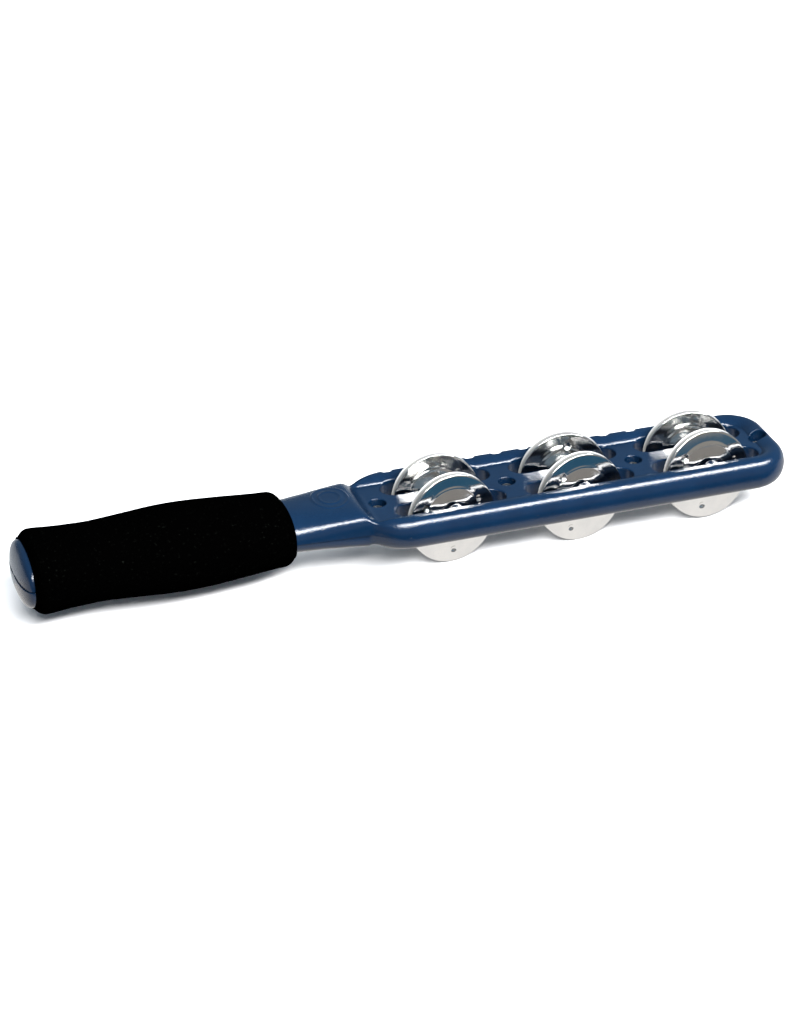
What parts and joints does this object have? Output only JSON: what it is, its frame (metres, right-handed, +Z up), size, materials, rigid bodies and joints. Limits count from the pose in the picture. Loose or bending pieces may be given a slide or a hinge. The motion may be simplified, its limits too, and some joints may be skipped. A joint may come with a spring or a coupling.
{
  "type": "jingle stick",
  "caption": "Hand-held percussion stick: a slotted two-part plastic paddle with pairs of loose metal disc jingles on cross pins and an oval foam grip on its handle.",
  "frame": {"origin": "middle of the underside: below the centre of the bounding box, on the plane the lowest jingle edges touch", "axes": "+X from the handle's end to the tip, +Z up out of the face with the screw heads, Y along the jingle pins"},
  "size_m": [0.3612, 0.0554, 0.0427],
  "materials": {
    "shell_plastic": "semi-gloss moulded ABS, metallic dark blue",
    "grip_foam": "matt closed-cell foam rubber",
    "jingle_steel": "bright nickel plate on stamped steel",
    "pin_steel": "plain drawn steel wire",
    "screw_steel": "zinc plated"
  },
  "bodies": {
    "paddle": {"upper_shell": "shell_plastic", "lower_shell": "shell_plastic", "foam_grip": "grip_foam", "cross_pin_1": "pin_steel", "cross_pin_2": "pin_steel", "cross_pin_3": "pin_steel", "web_screw_1": "screw_steel", "web_screw_2": "screw_steel", "web_screw_3": "screw_steel", "tip_screw": "screw_steel"},
    "jingle_near_1_front": {"jingle_near_1_front": "jingle_steel"},
    "jingle_near_1_back": {"jingle_near_1_back": "jingle_steel"},
    "jingle_near_2_front": {"jingle_near_2_front": "jingle_steel"},
    "jingle_near_2_back": {"jingle_near_2_back": "jingle_steel"},
    "jingle_near_3_front": {"jingle_near_3_front": "jingle_steel"},
    "jingle_near_3_back": {"jingle_near_3_back": "jingle_steel"},
    "jingle_far_1_front": {"jingle_far_1_front": "jingle_steel"},
    "jingle_far_1_back": {"jingle_far_1_back": "jingle_steel"},
    "jingle_far_2_front": {"jingle_far_2_front": "jingle_steel"},
    "jingle_far_2_back": {"jingle_far_2_back": "jingle_steel"},
    "jingle_far_3_front": {"jingle_far_3_front": "jingle_steel"},
    "jingle_far_3_back": {"jingle_far_3_back": "jingle_steel"}
  },
  "joints": [
    {"name": "spin_near_1", "type": "hinge", "parent": "paddle", "child": "jingle_near_1_front", "pos_m": [0.01764, -0.0138, 0.02149], "axis": [-0.0996, 0.9929, -0.065], "continuous": true},
    {"name": "clap_near_1", "type": "slide", "parent": "jingle_near_1_front", "child": "jingle_near_1_back", "axis": [-0.0996, 0.9929, -0.065], "range_m": [-0.0021, 0.002]},
    {"name": "spin_near_2", "type": "hinge", "parent": "paddle", "child": "jingle_near_2_front", "pos_m": [0.07965, -0.01375, 0.02108], "axis": [-0.1046, 0.9927, -0.06], "continuous": true},
    {"name": "clap_near_2", "type": "slide", "parent": "jingle_near_2_front", "child": "jingle_near_2_back", "axis": [-0.1046, 0.9927, -0.06], "range_m": [-0.0021, 0.002]},
    {"name": "spin_near_3", "type": "hinge", "parent": "paddle", "child": "jingle_near_3_front", "pos_m": [0.14159, -0.01395, 0.02193], "axis": [-0.0695, 0.9915, -0.1098], "continuous": true},
    {"name": "clap_near_3", "type": "slide", "parent": "jingle_near_3_front", "child": "jingle_near_3_back", "axis": [-0.0695, 0.9915, -0.1098], "range_m": [-0.0021, 0.002]},
    {"name": "spin_far_1", "type": "hinge", "parent": "paddle", "child": "jingle_far_1_front", "pos_m": [0.01752, 0.0075, 0.02126], "axis": [-0.0348, 0.9944, -0.0998], "continuous": true},
    {"name": "clap_far_1", "type": "slide", "parent": "jingle_far_1_front", "child": "jingle_far_1_back", "axis": [-0.0348, 0.9944, -0.0998], "range_m": [-0.0021, 0.0026]},
    {"name": "spin_far_2", "type": "hinge", "parent": "paddle", "child": "jingle_far_2_front", "pos_m": [0.07935, 0.00755, 0.02145], "axis": [0.0599, 0.9974, -0.04], "continuous": true},
    {"name": "clap_far_2", "type": "slide", "parent": "jingle_far_2_front", "child": "jingle_far_2_back", "axis": [0.0599, 0.9974, -0.04], "range_m": [-0.0021, 0.003]},
    {"name": "spin_far_3", "type": "hinge", "parent": "paddle", "child": "jingle_far_3_front", "pos_m": [0.14129, 0.00795, 0.02158], "axis": [0.0897, 0.9942, -0.06], "continuous": true},
    {"name": "clap_far_3", "type": "slide", "parent": "jingle_far_3_front", "child": "jingle_far_3_back", "axis": [0.0897, 0.9942, -0.06], "range_m": [-0.0021, 0.0023]}
  ]
}
